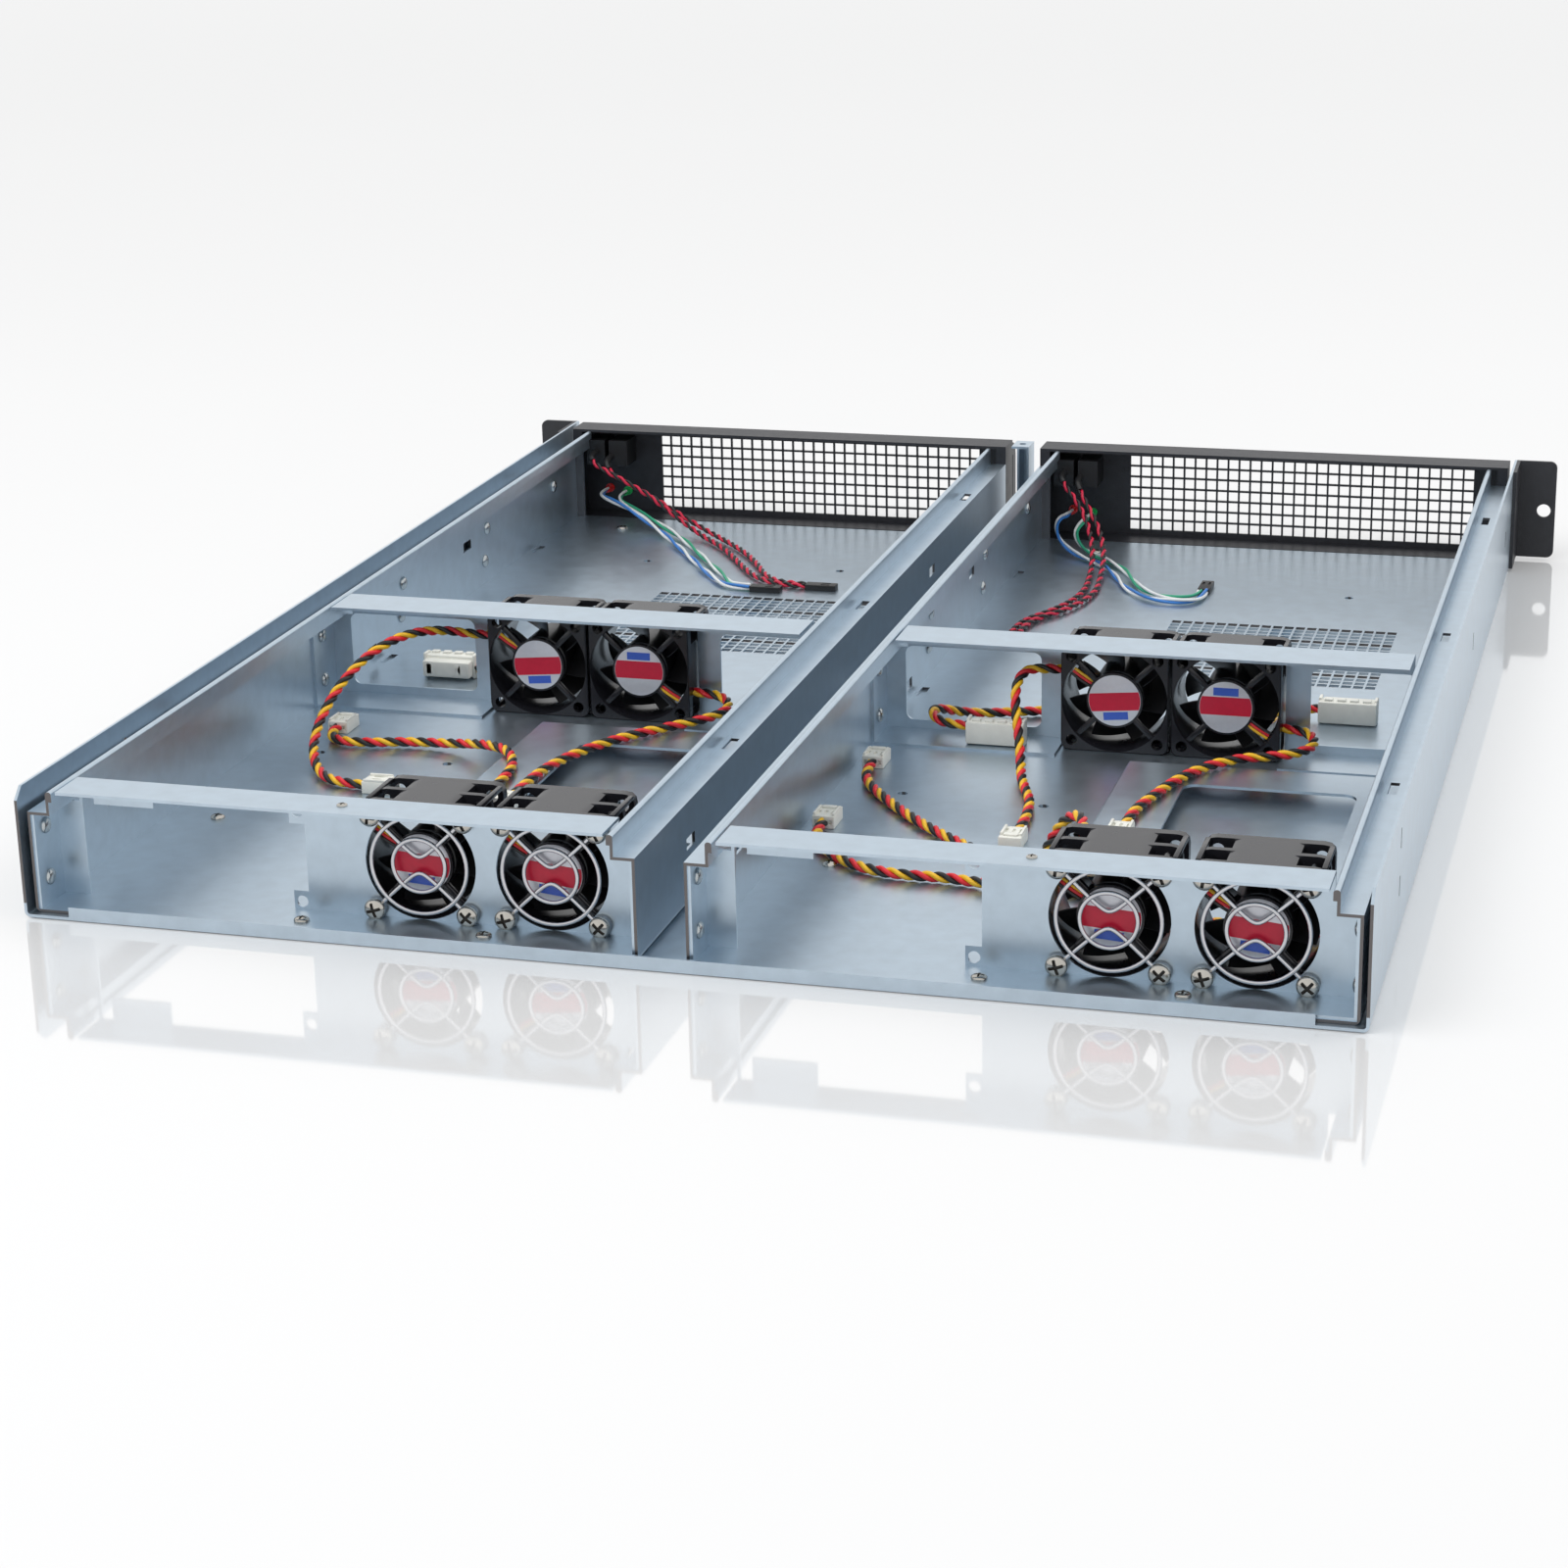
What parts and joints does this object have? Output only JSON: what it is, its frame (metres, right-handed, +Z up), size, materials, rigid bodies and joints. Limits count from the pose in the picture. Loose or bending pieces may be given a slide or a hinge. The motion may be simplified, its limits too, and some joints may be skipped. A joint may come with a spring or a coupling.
{
  "type": "empty rackmount server case",
  "caption": "Empty flat rackmount case with two slide-out trays, small fans with wire guards, mesh front bezels and rack ears.",
  "frame": {"origin": "centre of the footprint on the surface the case rests on", "axes": "+Y from the rear panels to the front bezels, +Z up, +X to the right as seen from the rear"},
  "size_m": [0.475, 0.588, 0.0444],
  "materials": {
    "galvanised_sheet": "satin galvanised sheet",
    "black_paint": "satin black powder coat",
    "chrome_wire": "bright plated wire",
    "black_plastic": "semi-matt black plastic",
    "lamp_lens": "clear coloured lens",
    "white_nylon": "matt off-white nylon",
    "lead_insulation": "glossy insulation"
  },
  "bodies": {
    "case": {"center_post": "galvanised_sheet", "ear_left": "black_paint", "ear_right": "black_paint", "outer_tray": "galvanised_sheet"},
    "rotor_rear_a_left": {"fan_rotor_rear_a_left": "black_plastic"},
    "rotor_rear_b_left": {"fan_rotor_rear_b_left": "black_plastic"},
    "rotor_mid_a_left": {"fan_rotor_mid_a_left": "black_plastic"},
    "rotor_mid_b_left": {"fan_rotor_mid_b_left": "black_plastic"},
    "power_left": {"power_button_left": "black_plastic"},
    "reset_left": {"reset_button_left": "black_plastic"},
    "node_left": {"fan_frame_mid_a_left": "black_plastic", "fan_frame_mid_b_left": "black_plastic", "fan_frame_rear_a_left": "black_plastic", "fan_frame_rear_b_left": "black_plastic", "finger_guards_left": "chrome_wire", "floor_bracket_left": "galvanised_sheet", "front_bezel_left": "black_paint", "lamp_lead_left": "lead_insulation", "lead_mid_a_left": "lead_insulation", "lead_mid_b_left": "lead_insulation", "lead_plugs_left": "white_nylon", "lead_rear_a_left": "lead_insulation", "mid_wall_left": "galvanised_sheet", "node_chassis_left": "galvanised_sheet", "power_lead_left": "lead_insulation", "pull_handle_left": "black_paint", "rear_panel_left": "galvanised_sheet", "status_leds_left": "lamp_lens", "switch_bodies_left": "black_plastic", "switch_lead_left": "lead_insulation"},
    "rotor_rear_a_right": {"fan_rotor_rear_a_right": "black_plastic"},
    "rotor_rear_b_right": {"fan_rotor_rear_b_right": "black_plastic"},
    "rotor_mid_a_right": {"fan_rotor_mid_a_right": "black_plastic"},
    "rotor_mid_b_right": {"fan_rotor_mid_b_right": "black_plastic"},
    "power_right": {"power_button_right": "black_plastic"},
    "reset_right": {"reset_button_right": "black_plastic"},
    "node_right": {"fan_frame_mid_a_right": "black_plastic", "fan_frame_mid_b_right": "black_plastic", "fan_frame_rear_a_right": "black_plastic", "fan_frame_rear_b_right": "black_plastic", "finger_guards_right": "chrome_wire", "floor_bracket_right": "galvanised_sheet", "front_bezel_right": "black_paint", "lamp_lead_right": "lead_insulation", "lead_mid_a_right": "lead_insulation", "lead_mid_b_right": "lead_insulation", "lead_plugs_right": "white_nylon", "lead_rear_a_right": "lead_insulation", "lead_rear_b_right": "lead_insulation", "mid_wall_right": "galvanised_sheet", "node_chassis_right": "galvanised_sheet", "power_lead_a_right": "lead_insulation", "power_lead_b_right": "lead_insulation", "pull_handle_right": "black_paint", "rear_panel_right": "galvanised_sheet", "status_leds_right": "lamp_lens", "switch_bodies_right": "black_plastic", "switch_lead_right": "lead_insulation"}
  },
  "joints": [
    {"name": "node_right_slide", "type": "slide", "parent": "case", "child": "node_right", "axis": [0, 1, 0], "range_m": [0, 0.45]},
    {"name": "node_left_slide", "type": "slide", "parent": "case", "child": "node_left", "axis": [0, 1, 0], "range_m": [0, 0.45]},
    {"name": "fan_spin_rear_a_left", "type": "hinge", "parent": "node_left", "child": "rotor_rear_a_left", "pos_m": [-0.0865, -0.26, 0.0221], "axis": [0, 1, 0], "continuous": true},
    {"name": "fan_spin_rear_b_left", "type": "hinge", "parent": "node_left", "child": "rotor_rear_b_left", "pos_m": [-0.0415, -0.26, 0.0221], "axis": [0, 1, 0], "continuous": true},
    {"name": "fan_spin_mid_a_left", "type": "hinge", "parent": "node_left", "child": "rotor_mid_a_left", "pos_m": [-0.126, -0.04, 0.0221], "axis": [0, 1, 0], "continuous": true},
    {"name": "fan_spin_mid_b_left", "type": "hinge", "parent": "node_left", "child": "rotor_mid_b_left", "pos_m": [-0.085, -0.04, 0.0221], "axis": [0, 1, 0], "continuous": true},
    {"name": "power_press_left", "type": "slide", "parent": "node_left", "child": "power_left", "axis": [0, -1, 0], "range_m": [0, 0.0015], "stiffness_N_per_m": 400, "springref_m": -0.001},
    {"name": "reset_press_left", "type": "slide", "parent": "node_left", "child": "reset_left", "axis": [0, -1, 0], "range_m": [0, 0.0015], "stiffness_N_per_m": 400, "springref_m": -0.001},
    {"name": "fan_spin_rear_a_right", "type": "hinge", "parent": "node_right", "child": "rotor_rear_a_right", "pos_m": [0.1385, -0.26, 0.0221], "axis": [0, 1, 0], "continuous": true},
    {"name": "fan_spin_rear_b_right", "type": "hinge", "parent": "node_right", "child": "rotor_rear_b_right", "pos_m": [0.1835, -0.26, 0.0221], "axis": [0, 1, 0], "continuous": true},
    {"name": "fan_spin_mid_a_right", "type": "hinge", "parent": "node_right", "child": "rotor_mid_a_right", "pos_m": [0.099, -0.04, 0.0221], "axis": [0, 1, 0], "continuous": true},
    {"name": "fan_spin_mid_b_right", "type": "hinge", "parent": "node_right", "child": "rotor_mid_b_right", "pos_m": [0.14, -0.04, 0.0221], "axis": [0, 1, 0], "continuous": true},
    {"name": "power_press_right", "type": "slide", "parent": "node_right", "child": "power_right", "axis": [0, -1, 0], "range_m": [0, 0.0015], "stiffness_N_per_m": 400, "springref_m": -0.001},
    {"name": "reset_press_right", "type": "slide", "parent": "node_right", "child": "reset_right", "axis": [0, -1, 0], "range_m": [0, 0.0015], "stiffness_N_per_m": 400, "springref_m": -0.001}
  ]
}
